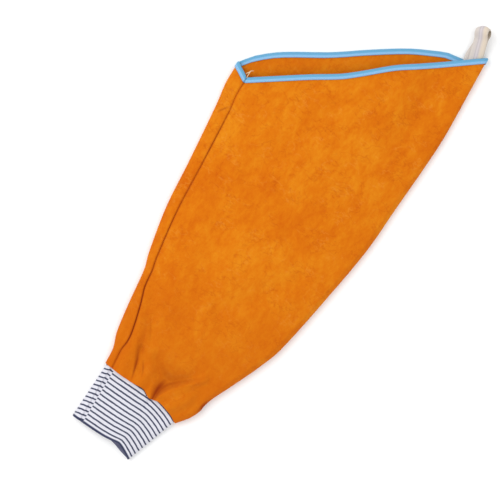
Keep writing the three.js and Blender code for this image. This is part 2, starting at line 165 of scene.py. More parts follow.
# Curves: share of the length or width, then share of the bow, drop or rise.
INNER_FOLD_CURVE = [
    (0, 0), (0.05, -0.13), (0.1, 0.28), (0.2, 0.37), (0.31, 0.32), (0.36, 0.65),
    (0.51, 1), (0.67, 0.66), (0.86, 0.38), (0.93, 0.4), (1, 0),
]
OUTER_FOLD_CURVE = [
    (0, 0.04), (0.014, 0.155), (0.03, 0.27), (0.052, 0.355), (0.066, 0.352), (0.086, 0.385),
    (0.13, 0.555), (0.2, 0.81), (0.26, 0.96), (0.43, 1), (0.54, 0.97), (0.64, 0.82),
    (0.75, 0.66), (0.82, 0.53), (0.93, 0.21), (1, 0),
]
FRONT_RIM_CURVE = [
    (0, 1), (0.12, 0.96), (0.27, 0.91), (0.41, 0.91), (0.49, 0.76), (0.62, 0.42), (0.72, 0.33),
    (0.85, 0.16), (1, -0.05),
]
BACK_RIM_CURVE = [
    (0, 0), (0.03, 0.3), (0.06, 0.49), (0.13, 0.72), (0.2, 0.76), (0.34, 0.71), (0.41, 0.77),
    (0.48, 0.885), (0.65, 1), (0.76, 0.8), (0.825, 0.6), (0.883, 0.165), (0.93, -0.09), (1, 0),
]
FRONT_WRIST_CURVE = [
    (0, 0), (0.11, 0.12), (0.34, 0.45), (0.5, 0.95), (0.61, 0.4), (0.72, 1), (0.88, 0.7), (1, 0),
]
CUFF_TOP_CURVE = [(0, 0), (0.2, 0.25), (0.5, 0.75), (0.66, 0.95), (0.85, 0.6), (1, 0)]
BACK_WRIST_CURVE = [(0, 0), (0.5, 0.7), (1, 0)]
CUFF_FRONT_END_CURVE = [
    (0, 0), (0.2, 0.2), (0.5, 0.55), (0.64, 0.9), (0.76, 1.2), (0.9, 0.6), (1, 0),
]
CUFF_BACK_END_CURVE = [(0, 0), (0.2, 0.2), (0.5, 0.55), (0.68, 0.62), (0.84, 0.26), (1, 0)]
LOFT_ALONG = [(0, 0.16), (0.08, 0.3), (0.2, 0.7), (0.45, 1), (0.75, 0.9), (1, 0.5)]
STRIP_ALONG = [
    (0, 0.12), (0.03, 0.05), (0.06, 0.12), (0.095, 0.6), (0.13, 0.69), (0.21, 0.4), (0.265, 0.06),
    (0.32, 0.12), (0.38, 0.27), (0.525, 0.53), (0.7, 0.73), (0.78, 0.84), (0.9, 0.98), (1, 0.975),
]

# How dark the seam's painted line and shade are along the sleeve
SEAM_SHADE = [
    (0, 0.1), (0.03, 0.3), (0.07, 0.6), (0.1, 1), (0.26, 1), (0.34, 0.64), (0.44, 0.7),
    (0.5, 0.62), (0.58, 0.4), (0.64, 0.45), (0.72, 0.68), (0.78, 0.6), (0.86, 0.32), (1, 0.25),
]

# Gathers and soft folds on the front: from and to as shares along and across the panel, then
# the half width and the height in millimetres.
FOLDS = [
    ((0, 0.2), (0.1, 0.17), 13, 2.6),
    ((0, 0.43), (0.06, 0.4), 12, 3.6),
    ((0, 0.79), (0.06, 0.82), 21, 5),
    ((0.03, 0.65), (0.12, 0.81), 8, 3),
    ((0.1, 0.44), (0.09, 0.6), 16, -3.5),
    ((0.05, 0.31), (0.1, 0.25), 6, -2.5),
    ((0.125, 0.29), (0.2, 0.2), 7, -1.6),
    ((0.3, 0.55), (0.42, 0.8), 22, -2),
    ((0.22, 0.4), (0.5, 0.3), 26, -2),
    ((0.66, 0.3), (0.86, 0.5), 24, -2),
    ((0.32, 0.436), (0.245, 0.619), 10, -1.2),
    ((0.52, 0.62), (0.44, 0.8), 14, -1.2),
]

# A crease's painted shade has a line a share of its half width wide, and sides lighter than the line.
CREASE_CORE = 0.35
CREASE_SIDES = 0.6

# Creases, each a line through its rows: shares along and across the panel, half width and
# height in millimetres, and how dark the shade painted along it is.
CREASES = {
    "beside the seam": [
        (0.128, 0.216, 6, -0.5, 0.04), (0.105, 0.227, 6, -0.9, 0.14), (0.088, 0.24, 5, -1.1, 0.35),
        (0.07, 0.256, 4, -1.2, 0.75), (0.05, 0.269, 3, -1.2, 1), (0.033, 0.29, 2.2, -0.9, 0.9),
        (0.013, 0.327, 1.4, -0.3, 0.2),
    ],
    "valley above it": [
        (0.245, 0.113, 8, -0.8, 0.05), (0.195, 0.149, 9, -1.2, 0.13), (0.163, 0.183, 9, -1.4, 0.2),
        (0.122, 0.225, 8, -1.4, 0.24), (0.095, 0.254, 6, -1, 0.2),
    ],
    "pleat at the wrist": [
        (0.004, 0.629, 3, -2.2, 1), (0.012, 0.617, 4, -2.4, 1), (0.022, 0.592, 5.5, -2.4, 1),
        (0.034, 0.572, 9, -2.3, 1), (0.048, 0.566, 12, -2, 0.85), (0.06, 0.57, 13, -1.6, 0.5),
    ],
    "hollow above the lobe": [
        (0.1, 0.41, 9, -0.8, 0.1), (0.086, 0.5, 15, -1.2, 0.3), (0.077, 0.58, 18, -1.4, 0.42),
        (0.084, 0.64, 17, -1.2, 0.42), (0.1, 0.685, 15, -0.8, 0.3), (0.12, 0.71, 12, -0.4, 0.1),
    ],
    "under the lobe's edge": [
        (0.014, 0.634, 3, -0.6, 0.6), (0.028, 0.6, 5, -0.9, 0.75), (0.044, 0.59, 7, -1.1, 0.75),
        (0.058, 0.61, 8, -1.1, 0.62), (0.072, 0.655, 8, -0.9, 0.5), (0.085, 0.692, 7, -0.8, 0.42),
        (0.096, 0.726, 6, -0.6, 0.3), (0.11, 0.768, 5, -0.4, 0.14), (0.13, 0.822, 5, -0.2, 0.03),
    ],
    "edge of the lobe": [
        (0.013, 0.668, 3.4, 0.9, 0), (0.026, 0.64, 3.8, 1.5, 0), (0.041, 0.634, 4, 1.8, 0),
        (0.056, 0.662, 4.4, 1.9, 0), (0.071, 0.706, 4.6, 1.7, 0), (0.084, 0.736, 4.6, 1.5, 0),
        (0.096, 0.775, 4.4, 1.1, 0), (0.115, 0.825, 4, 0.5, 0),
    ],
    "fine line above": [
        (0.193, 0.177, 1.8, -0.3, 0.12), (0.163, 0.225, 2, -0.4, 0.3), (0.133, 0.271, 1.8, -0.3, 0.15),
    ],
    "fine line below": [
        (0.075, 0.312, 1.6, -0.4, 0.25), (0.058, 0.34, 1.7, -0.6, 0.6), (0.038, 0.375, 1.6, -0.3, 0.2),
    ],
    "across the strip": [
        (0.833, 0.018, 2.2, -0.3, 0.3), (0.842, 0.036, 2.6, -0.6, 0.6), (0.85, 0.056, 2.2, -0.4, 0.4),
    ],
}


def curve(table, at):
    """A smooth curve through a table's rows, at one place or at many."""
    keys = np.array([row[0] for row in table], float)
    values = np.array([row[1] for row in table], float)
    place = np.clip(at, keys[0], keys[-1])
    row = np.clip(np.searchsorted(keys, place, side="right") - 1, 0, len(keys) - 2)
    slopes = np.empty(len(keys))
    slopes[1:-1] = (values[2:] - values[:-2]) / (keys[2:] - keys[:-2])
    slopes[0] = (values[1] - values[0]) / (keys[1] - keys[0])
    slopes[-1] = (values[-1] - values[-2]) / (keys[-1] - keys[-2])
    span = keys[row + 1] - keys[row]
    t = (place - keys[row]) / span
    bend = slopes[row] * span * t * (1 - t) ** 2 - slopes[row + 1] * span * t * t * (1 - t)
    return values[row] + (values[row + 1] - values[row]) * t * t * (3 - 2 * t) + bend


def smooth(x, low, high):
    """A soft step from 0 at low to 1 at high."""
    t = np.clip((np.asarray(x, float) - low) / (high - low), 0, 1)
    return t * t * (3 - 2 * t)


def mix(a, b, t):
    """The value a share t of the way from a to b."""
    return a + (b - a) * t


def unit(v):
    """Vectors of length one."""
    return v / np.linalg.norm(v, axis=-1, keepdims=True)


def drawn_line(away, width, full):
    """How strongly a line shows: fully out to a share of its width, then fading over one width."""
    return np.clip(1 + full - away / width, 0, 1)


wrist_half = np.array([math.cos(WRIST_SLANT), -math.sin(WRIST_SLANT), 0]) * WRIST_WIDTH / 2
up_inner = np.array([-math.sin(INNER_FOLD_LEAN), math.cos(INNER_FOLD_LEAN), 0])
up_outer = np.array([math.sin(OUTER_FOLD_LEAN), math.cos(OUTER_FOLD_LEAN), 0])
out_of_inner = np.array([-up_inner[1], up_inner[0], 0])
out_of_outer = np.array([up_outer[1], -up_outer[0], 0])


def inner_fold(along):
    bow = INNER_FOLD_BOW * curve(INNER_FOLD_CURVE, along)
    return -wrist_half + up_inner * INNER_FOLD_LENGTH * along + out_of_inner * bow


def outer_fold(along):
    bow = OUTER_FOLD_BOW * curve(OUTER_FOLD_CURVE, along)
    return wrist_half + up_outer * OUTER_FOLD_LENGTH * along + out_of_outer * bow


def flat_place(along, across):
    return mix(inner_fold(along), outer_fold(along), across)


fold_lines = [
    (flat_place(*start), flat_place(*end), reach, height) for start, end, reach, height in FOLDS
]


def crease_line(rows, steps=70):
    """Places down a crease, with its half width, height and painted shade at each."""
    share = np.linspace(0, 1, len(rows))
    fine = np.linspace(0, 1, steps)
    along, across, reach, height, dark = (
        curve(list(zip(share, column)), fine) for column in zip(*rows)
    )
    places = np.array([flat_place(a, c) for a, c in zip(along, across)])
    return places[:, :2], reach, height, dark


crease_lines = [crease_line(rows) for rows in CREASES.values()]


def fold_relief(places):
    """(lift, painted shade) at each place from the gathers and creases."""
    lift = np.zeros(len(places))
    painted_shade = np.zeros(len(places))
    flat = places.copy()
    flat[:, 2] = 0
    for start, end, reach, height in fold_lines:
        run = end - start
        t = np.clip(((flat - start) @ run) / (run @ run), 0, 1)
        away = np.linalg.norm(flat - start - t[:, None] * run, axis=1)
        lift += height * (1 - smooth(away, 0, reach))
    for line, reach, height, dark in crease_lines:
        gaps = np.linalg.norm(flat[:, None, :2] - line[None], axis=2)
        near = gaps.argmin(1)
        away = gaps.min(1)
        soft = 1 - smooth(away, 0, reach[near])
        core = drawn_line(away, CREASE_CORE * reach[near], full=0.3)
        lift += height[near] * soft
        painted_shade = np.maximum(painted_shade, dark[near] * np.maximum(CREASE_SIDES * soft, core))
    return lift, painted_shade


rim_band = RIM_BAND / INNER_FOLD_LENGTH
rim_lift = SEWN_GAP + BINDING_THICKNESS


def fold_height(along):
    return mix(WRIST_FOLD_HEIGHT, RIM_FOLD_HEIGHT, along)


def fold_reach(along):
    return fold_height(along) / 2


def base_lift(along):
    return rim_lift * smooth(along, 1 - 2 * rim_band, 1 - rim_band)


def seam_place(along):
    return fold_reach(along) + SEAM_HALF_WIDTH + SEAM_STRIP * curve(STRIP_ALONG, along)


def front_height(along, across):
    full = (LOFT - WRIST_FOLD_HEIGHT) * curve(LOFT_ALONG, along)
    pinch = smooth(along, *PINCH_ALONG) * smooth(across, *PINCH_ACROSS)
    crown = np.sin(np.pi * np.clip(across, 0, 1)) ** CROWN_ROUNDNESS * (1 - pinch)
    return base_lift(along) + fold_height(along) + full * crown


def seam_dip(away):
    """The seam's valley: a narrow cleft in a soft one."""
    soft = 1 - smooth(np.abs(away), 0, SEAM_HALF_WIDTH)
    cleft = np.clip(1 - np.abs(away) / SEAM_CLEFT_HALF_WIDTH, 0, 1)
    return SEAM_DEPTH * (SEAM_VALLEY_SHARE * soft + SEAM_CLEFT_SHARE * cleft)


def tube_section(width, round_, low, seam, height, back, rounds, strip, cleft, front):
    """(x, z, whether it is the front) round a flat tube's section, with the seam's valley.

    round_ is the folds' radius, height a function of the share across, and the last five are
    numbers of columns: the back, each fold, the strip beside the seam, the seam and the front.
    """
    turn = np.pi * np.arange(rounds) / rounds
    xs = [mix(width - round_, round_, np.arange(back) / back)]
    zs = [np.full(back, float(low))]
    sides = [np.zeros(back, bool)]
    xs.append(round_ * (1 - np.sin(turn)))
    zs.append(low + round_ * (1 - np.cos(turn)))
    sides.append(2 * np.arange(rounds) >= rounds)
    crowd = np.sinh(np.linspace(-SEAM_CROWDING, SEAM_CROWDING, cleft, endpoint=False))
    over = np.concatenate(
        [
            np.linspace(round_, seam - SEAM_HALF_WIDTH, strip, endpoint=False),
            seam + SEAM_HALF_WIDTH * crowd / math.sinh(SEAM_CROWDING),
            np.linspace(seam + SEAM_HALF_WIDTH, width - round_, front),
        ]
    )
    xs.append(over)
    zs.append(height(over / width) - seam_dip(over - seam))
    sides.append(np.ones(len(over), bool))
    turn = turn[1:]
    xs.append(width - round_ * (1 - np.sin(turn)))
    zs.append(low + round_ * (1 + np.cos(turn)))
    sides.append(2 * np.arange(1, rounds) <= rounds)
    return np.concatenate(xs), np.concatenate(zs), np.concatenate(sides)


def inwards(x, z):
    """Steps that move a closed section inwards by one unit of its wall."""
    points = np.stack([x, z], 1)
    edge = np.roll(points, -1, 0) - points
    normal = unit(np.stack([edge[:, 1], -edge[:, 0]], 1))
    before = np.roll(normal, 1, 0)
    middle = unit(before + normal)
    return middle / np.maximum((middle * before).sum(1), MITRE_LIMIT)[:, None]


def shift_along(along, x, across, front, width, wrist_curve):
    """How far each point of a ring moves up the sleeve, to the rim's and the wrist's curves."""
    near_rim = smooth(along, RIM_CURVE_FROM, 1)
    near_wrist = 1 - smooth(along, 0, WRIST_CURVE_TO)
    seam = seam_place(along)
    back = BACK_RIM_RISE * curve(BACK_RIM_CURVE, across) * near_rim
    back = back + WRIST_EDGE_RISE * curve(BACK_WRIST_CURVE, across) * near_wrist
    past = (x - seam) / (width - seam)
    dip = np.where(past < 0, x / seam, curve(FRONT_RIM_CURVE, past))
    wrist = WRIST_EDGE_RISE * curve(wrist_curve, across) * near_wrist
    return np.where(front, -FRONT_RIM_DROP * dip * near_rim + wrist, back)


PANEL_CUT = dict(back=24, rounds=10, strip=8, cleft=14, front=136)


def panel_ring(along, inset, highest=FAR, wrist_curve=FRONT_WRIST_CURVE):
    """(points, painted shade) of one closed ring round the panel at a station, moved inwards.

    Folds lift it by no more than highest, so 0 keeps only the hollows.
    """
    left = inner_fold(along)
    span = outer_fold(along) - left
    width = np.linalg.norm(span)
    across_dir = span / width
    round_ = fold_reach(along)
    x, z, front = tube_section(
        width,
        round_,
        base_lift(along),
        seam_place(along),
        lambda share: front_height(along, share),
        **PANEL_CUT,
    )
    inward = inwards(x, z)
    across = x / width
    up = unit(mix(up_inner[None, :], up_outer[None, :], across[:, None]))
    shift = shift_along(along, x, across, front, width, wrist_curve)
    points = left + across_dir * x[:, None] + up * shift[:, None]
    # The seam's thin line and its wider shade are painted shade
    seam_away = np.abs(x - seam_place(along))
    line = drawn_line(seam_away, SEAM_LINE_WIDTH, full=0.5)
    shade = 1 - smooth(seam_away, 0, SEAM_SHADE_WIDTH)
    seam_painted_shade = SEAM_LINE_SHARE * line + (1 - SEAM_LINE_SHARE) * shade
    painted_shade = np.where(front, seam_painted_shade * curve(SEAM_SHADE, along), 0)
    # Creases and hollows get painted shade in the suede's colour as well as their lift
    lift, dark = fold_relief(points)
    flat = front & (x > round_)
    fade = smooth(width - x, round_, GATHERS_FADE * round_)
    lift = np.where(flat, np.minimum(lift, highest) * fade, 0)
    painted_shade = np.maximum(painted_shade, np.where(flat, dark * fade, 0))
    # A sliver of painted shade along the outer fold above the wrist
    sliver = math.exp(-(((along - SLIVER_ALONG) / SLIVER_LENGTH) ** 2))
    painted_shade = np.maximum(painted_shade, SLIVER_SHADE * sliver * (1 - smooth(width - x, *SLIVER_WIDTH)))
    points = points + across_dir * (inward[:, :1] * inset)
    points[:, 2] = z + lift + inward[:, 1] * inset
    return points, painted_shade


def new_object(name, points, faces, values=None, sharp=40):
    """A mesh object from points in millimetres, with named values at its points.

    Edges that turn by more than sharp degrees are shaded as sharp ones.
    """
    mesh = bpy.data.meshes.new(name)
    places = (np.asarray(points) - ORIGIN) * MM
    mesh.from_pydata(places.tolist(), [], [list(face) for face in faces])
    mesh.update()
    for key, data in (values or {}).items():
        layer = mesh.attributes.new(key, "FLOAT", "POINT")
        layer.data.foreach_set("value", np.asarray(data, dtype=np.float32))
    mesh.polygons.foreach_set("use_smooth", [True] * len(mesh.polygons))
    mesh.set_sharp_from_angle(angle=math.radians(sharp))
    obj = bpy.data.objects.new(name, mesh)
    bpy.context.scene.collection.objects.link(obj)
    return obj


def skin_faces(rows, around, closed=True):
    """Four-sided faces between rings; closed joins the last ring back to the first."""
    r = np.arange(rows if closed else rows - 1)[:, None]
    c = np.arange(around)[None, :]
    nxt = (r + 1) % rows
    beside = (c + 1) % around
    quads = [r * around + c, r * around + beside, nxt * around + beside, nxt * around + c]
    return np.stack(np.broadcast_arrays(*quads), -1).reshape(-1, 4).tolist()


class Shader:
    """A small builder for one procedural material."""

    def __init__(self, name, roughness, sheen=0.0):
        self.material = bpy.data.materials.new(name)
        self.material.use_nodes = True
        self.tree = self.material.node_tree
        self.surface = self.tree.nodes["Principled BSDF"]
        self.surface.inputs["Roughness"].default_value = roughness
        self.surface.inputs["Specular IOR Level"].default_value = 0.25
        self.surface.inputs["Sheen Weight"].default_value = sheen
        self.surface.inputs["Sheen Roughness"].default_value = 0.5

    def node(self, kind, **settings):
        made = self.tree.nodes.new(kind)
        for key, value in settings.items():
            setattr(made, key, value)
        return made

    def put(self, source, socket):
        if isinstance(source, (int, float, tuple)):
            socket.default_value = source
        else:
            self.tree.links.new(source, socket)

    def attribute(self, name):
        return self.node("ShaderNodeAttribute", attribute_name=name).outputs["Fac"]

    def math(self, operation, a, b=0.0):
        made = self.node("ShaderNodeMath", operation=operation)
        self.put(a, made.inputs[0])
        self.put(b, made.inputs[1])
        return made.outputs[0]

    def scaled(self, source, factor):
        return self.math("MULTIPLY", source, factor)

    def wave(self, source, pitch):
        """A sine with that pitch, in the units of its source."""
        return self.math("SINE", self.scaled(source, 2 * math.pi / pitch))

    def noise(self, scale, detail=3.0, roughness=0.55, stretch=(1, 1, 1), turn=0.0):
        place = self.node("ShaderNodeTexCoord").outputs["Object"]
        mapping = self.node("ShaderNodeMapping")
        mapping.inputs["Scale"].default_value = stretch
        mapping.inputs["Rotation"].default_value = (0, 0, turn)
        self.put(place, mapping.inputs["Vector"])
        made = self.node("ShaderNodeTexNoise")
        made.inputs["Scale"].default_value = scale
        made.inputs["Detail"].default_value = detail
        made.inputs["Roughness"].default_value = roughness
        self.put(mapping.outputs[0], made.inputs["Vector"])
        return made.outputs["Fac"]

    def ramp(self, value, stops):
        """A colour looked up in rows of (place, colour)."""
        made = self.node("ShaderNodeValToRGB")
        ramp = made.color_ramp
        while len(ramp.elements) < len(stops):
            ramp.elements.new(0.5)
        for element, (place, colour) in zip(ramp.elements, stops):
            element.position = place
            element.color = (*colour, 1)
        self.put(value, made.inputs["Fac"])
        return made.outputs["Color"]

    def blend(self, share, a, b):
        made = self.node("ShaderNodeMix", data_type="RGBA", blend_type="MIX")
        self.put(share, made.inputs["Factor"])
        for value, socket in ((a, made.inputs["A"]), (b, made.inputs["B"])):
            self.put((*value, 1.0) if isinstance(value, tuple) else value, socket)
        return made.outputs["Result"]

    def bump(self, height, strength, distance, before=None):
        made = self.node("ShaderNodeBump")
        made.inputs["Strength"].default_value = strength
        made.inputs["Distance"].default_value = distance
        self.put(height, made.inputs["Height"])
        if before is not None:
            self.put(before, made.inputs["Normal"])
        return made.outputs["Normal"]

    def finish(self, colour, normal=None):
        colour = (*colour, 1.0) if isinstance(colour, tuple) else colour
        self.put(colour, self.surface.inputs["Base Color"])
        if normal is not None:
            self.put(normal, self.surface.inputs["Normal"])
        return self.material


# How much brighter than the screen's white the studio lights a white surface
LIGHT_GAIN = 1.2
BLACK, WHITE = (0, 0, 0), (1, 1, 1)


def grey(level):
    return (level, level, level)


def srgb(red, green, blue):
    """A colour given as 0 to 255 on screen under the studio's light, as linear values."""
    shares = np.array([red, green, blue]) / 255
    linear = np.where(shares <= 0.04, shares / 12.92, ((shares + 0.055) / 1.055) ** 2.4)
    return tuple((linear / LIGHT_GAIN).tolist())


# Suede: rows of (place on the mottling, colour), rows of (scale, weight) of the mottling, rows
# of (scale, width, strength) of the fine lines, and rows of (value at the mesh's points, cover,
# colour) that are laid over the skin in turn
SUEDE_TONES = [(0.38, srgb(215, 104, 4)), (0.5, srgb(225, 121, 9)), (0.62, srgb(233, 139, 20))]
SUEDE_LINE = srgb(190, 82, 4)
# Painted highlights: lighter strokes over the nap
SUEDE_HIGHLIGHT = srgb(244, 158, 60)
# Darker towards the wrist
SUEDE_WRIST_TINT = srgb(209, 104, 8)
# Painted shade, laid in the seam, the creases, the hollows and the sliver by the outer fold
SUEDE_PAINTED_SHADE = srgb(152, 52, 6)
SUEDE_INSIDE = srgb(214, 108, 18)
MOTTLE_ROWS = [(38, 0.3), (95, 0.26), (260, 0.16)]
LINE_ROWS = [(21, 0.014, 0.3), (48, 0.03, 0.42), (64, 0.035, 0.36)]
HIGHLIGHT_ROW = (55, 0.03, 0.3)
COVER_ROWS = [("wrist_tint", 0.5, SUEDE_WRIST_TINT), ("crease", 0.9, SUEDE_PAINTED_SHADE), ("inner", 0.15, SUEDE_INSIDE)]


def wrinkles(s, scale, width, strength):
    """Short fine lines scattered over the leather, as a share of full strength."""
    field = s.noise(scale, roughness=0.5, stretch=(1, 1.7, 1), turn=-0.5)
    vein = s.math("ABSOLUTE", s.math("SUBTRACT", field, 0.5))
    line = s.ramp(vein, [(0.0, WHITE), (0.4 * width, grey(0.35)), (width, BLACK)])
    here = s.ramp(s.noise(0.8 * scale + 3, detail=2), [(0.5, BLACK), (0.6, grey(strength))])
    return s.math("MULTIPLY", line, here)


def suede():
    s = Shader("suede", 0.95, sheen=0.02)
    s.surface.inputs["Specular IOR Level"].default_value = 0.1
    mottle = s.scaled(s.noise(9, detail=2, roughness=0.5), 0.28)
    for scale, weight in MOTTLE_ROWS:
        patch = s.noise(scale, roughness=0.6, stretch=(1.35, 0.8, 1), turn=0.6)
        mottle = s.math("ADD", mottle, s.scaled(patch, weight))
    skin = s.ramp(mottle, SUEDE_TONES)
    for row in LINE_ROWS:
        skin = s.blend(wrinkles(s, *row), skin, SUEDE_LINE)
    # Lighter strokes laid over the skin as painted highlights
    skin = s.blend(wrinkles(s, *HIGHLIGHT_ROW), skin, SUEDE_HIGHLIGHT)
    for value, cover, colour in COVER_ROWS:
        skin = s.blend(s.scaled(s.attribute(value), cover), skin, colour)
    nap = s.bump(s.noise(900, roughness=0.7), strength=0.3, distance=0.0006)
    grain = s.noise(150, detail=4, roughness=0.6)
    return s.finish(skin, s.bump(grain, strength=0.22, distance=0.0015, before=nap))


# Binding tape: rows of (share from the rim to the tape's edge, colour)
BINDING_TONES = [
    (0.0, srgb(104, 174, 212)), (0.34, srgb(108, 180, 222)), (0.46, srgb(148, 202, 244)),
    # The last row is painted shadow along the tape's edge, where it meets the leather
    (0.86, srgb(152, 204, 246)), (0.97, srgb(112, 152, 188)),
]
BINDING_RIB = srgb(80, 140, 190)
BINDING_PATCH = srgb(126, 184, 228)
BINDING_JOIN = srgb(44, 72, 104)
BINDING_RIB_PITCH = 0.9


def binding_tape():
    s = Shader("binding_tape", 0.7, sheen=0.1)
    colour = s.ramp(s.math("ABSOLUTE", s.attribute("tape_across")), BINDING_TONES)
    ribs = s.wave(s.attribute("tape_along"), BINDING_RIB_PITCH)
    colour = s.blend(s.scaled(s.math("ADD", ribs, 1.0), 0.06), colour, BINDING_RIB)
    colour = s.blend(s.scaled(s.noise(160), 0.25), colour, BINDING_PATCH)
    colour = s.blend(s.attribute("join"), colour, BINDING_JOIN)
    return s.finish(colour, s.bump(ribs, strength=0.3, distance=0.0003))


# Loop tape: rows of (share across the tape, colour)
LOOP_TONES = [
    (0.0, srgb(230, 220, 210)), (0.28, srgb(228, 218, 214)), (0.35, srgb(206, 197, 201)),
    (0.43, srgb(234, 225, 228)), (0.54, srgb(212, 202, 206)), (0.63, srgb(236, 222, 208)),
    (0.76, srgb(244, 226, 202)), (0.92, srgb(232, 217, 198)), (1.0, srgb(210, 198, 182)),
]
LOOP_PATCH = srgb(212, 204, 198)
LOOP_WEAVE = srgb(180, 170, 168)
# Painted shade on the tape's inner faces inside the loop's eye
LOOP_EYE_SHADE = srgb(184, 168, 146)
LOOP_PITCH_ACROSS = 1.6
LOOP_PITCH_ALONG = 1.1


def loop_tape():
    s = Shader("loop_tape", 0.85, sheen=0.05)
    place = s.math("ADD", s.scaled(s.attribute("tape_across"), 1 / LOOP_TAPE_WIDTH), 0.5)
    colour = s.ramp(place, LOOP_TONES)
    colour = s.blend(s.scaled(s.noise(90), 0.3), colour, LOOP_PATCH)
    across = s.wave(s.attribute("tape_across"), LOOP_PITCH_ACROSS)
    along = s.wave(s.attribute("tape_along"), LOOP_PITCH_ALONG)
    colour = s.blend(s.scaled(s.math("ADD", across, 1.0), 0.05), colour, LOOP_WEAVE)
    # Painted shade inside the loop's eye
    colour = s.blend(s.scaled(s.attribute("eye"), 0.6), colour, LOOP_EYE_SHADE)
    weave = s.math("ADD", across, along)
    return s.finish(colour, s.bump(weave, strength=0.4, distance=0.0003))


# Knit: pairs of colours that a fine noise mixes, and a stripe's line as rows of (share of a
# pitch from its middle, cover)
KNIT_WHITE = (srgb(238, 238, 247), srgb(224, 224, 238))
KNIT_NAVY = (srgb(40, 46, 78), srgb(80, 86, 116))
KNIT_MELANGE = (srgb(62, 64, 98), srgb(150, 150, 178))
KNIT_SEAM = srgb(214, 214, 228)
STRIPE_LINE = [(0.0, WHITE), (0.14, WHITE), (0.2, BLACK)]
KNIT_SEAM_LINE = [(0.0, grey(0.5)), (0.4, BLACK)]
ROWS_PER_STRIPE = 6
WALE_PITCH = 1.3


def knit():
    s = Shader("knit", 0.9, sheen=0.15)
    left_of_seam = s.math("LESS_THAN", s.attribute("from_seam"), 0.0)
    stripe = s.math("ADD", s.attribute("stripe"), s.scaled(left_of_seam, STRIPE_STEP))
    wobble = s.scaled(s.math("SUBTRACT", s.noise(240, detail=2), 0.5), 0.16)
    phase = s.math("FRACT", s.math("ADD", stripe, s.math("ADD", wobble, 0.5)))
    away = s.math("ABSOLUTE", s.math("SUBTRACT", phase, 0.5))
    white = s.blend(s.scaled(s.noise(300, detail=2), 0.4), *KNIT_WHITE)
    navy = s.blend(s.scaled(s.noise(700, detail=2), 0.5), *KNIT_NAVY)
    colour = s.blend(s.ramp(away, STRIPE_LINE), white, navy)
    colour = s.blend(s.attribute("hem"), colour, navy)
    near_seam = s.math("ABSOLUTE", s.attribute("from_seam"))
    colour = s.blend(s.ramp(near_seam, KNIT_SEAM_LINE), colour, KNIT_SEAM)
    melange = s.blend(s.noise(900, detail=2, roughness=0.7), *KNIT_MELANGE)
    colour = s.blend(s.attribute("inner"), colour, melange)
    rows = s.wave(stripe, 1 / ROWS_PER_STRIPE)
    wales = s.wave(s.attribute("wale"), WALE_PITCH)
    ribs = s.math("ADD", s.scaled(rows, 0.3), wales)
    return s.finish(colour, s.bump(ribs, strength=0.45, distance=0.0003))


# Threads: their colours, and their radii in millimetres
BLUE_THREAD = srgb(176, 214, 244)
CREAM_THREAD = srgb(240, 206, 160)
DARK_THREAD = srgb(52, 36, 40)
FINE_THREAD = 0.2
THICK_THREAD = 0.5


def thread(name, colour):
    s = Shader(name, 0.6, sheen=0.1)
    twist = s.node("ShaderNodeTexWave", wave_type="BANDS", bands_direction="DIAGONAL")
    twist.inputs["Scale"].default_value = 900
    darker = tuple(0.7 * c for c in colour)
    return s.finish(s.blend(s.scaled(twist.outputs["Fac"], 0.2), colour, darker))


def dress(obj, material):
    """Give a piece its material and the body it rides on."""
    obj.data.materials.append(material)
    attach(obj, "root")
    return obj


# Sleeve panel: its rings over the cuff, through the gathers, up to the rim and under the tape
RIM_ROWS = 11
cuff_top = CUFF_TUCK / INNER_FOLD_LENGTH
stations = np.concatenate(
    [
        np.linspace(0, cuff_top, 8, endpoint=False),
        np.linspace(cuff_top, GATHERS_TO, 58, endpoint=False),
        np.linspace(GATHERS_TO, 1 - rim_band, 138, endpoint=False),
        np.linspace(1 - rim_band, 1, RIM_ROWS),
    ]
)
outside = [panel_ring(s, 0) for s in stations]
inside = [panel_ring(s, LEATHER) for s in stations]

# The leather is darker towards the wrist: fully below the first share along the sleeve, and not at all
# beyond the second.
WRIST_TINT_BETWEEN = (0.04, 0.5)


def sleeve_panel():
    rings = [ring for ring, _ in outside] + [ring for ring, _ in inside[::-1]]
    around = len(rings[0])
    skin = len(stations) * around
    # Painted shade on the outside of the panel: seam, creases, hollows and the sliver
    crease = np.concatenate([dark for _, dark in outside])
    tint_toward_wrist = np.repeat(1 - smooth(stations, *WRIST_TINT_BETWEEN), around)
    values = {
        "crease": np.concatenate([crease, np.zeros(skin)]),
        "inner": np.concatenate([np.zeros(skin), np.ones(skin)]),
        "wrist_tint": np.concatenate([tint_toward_wrist, tint_toward_wrist[::-1]]),
    }
    faces = skin_faces(len(rings), around)
    obj = new_object("suede_panel", np.concatenate(rings), faces, values)
    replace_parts(dress(obj, suede()), "sleeve_panel")


# Rim binding
SEAM_COLUMN = PANEL_CUT["back"] + PANEL_CUT["rounds"] + PANEL_CUT["strip"] + PANEL_CUT["cleft"] // 2
rim_outside = np.stack([ring for ring, _ in outside[-RIM_ROWS:]])[::-1]
rim_inside = np.stack([ring for ring, _ in inside[-RIM_ROWS:]])[::-1]


def down_from_rim(rows, distance):
    """The point on each column of rows that lies its own distance down from the rim."""
    steps = np.linalg.norm(np.diff(rows, axis=0), axis=2)
    run = np.concatenate([np.zeros((1, rows.shape[1])), np.cumsum(steps, axis=0)])
    points = np.empty((rows.shape[1], 3))
    for i in range(rows.shape[1]):
        for axis in range(3):
            points[i, axis] = np.interp(distance[i], run[:, i], rows[:, i, axis])
    return points


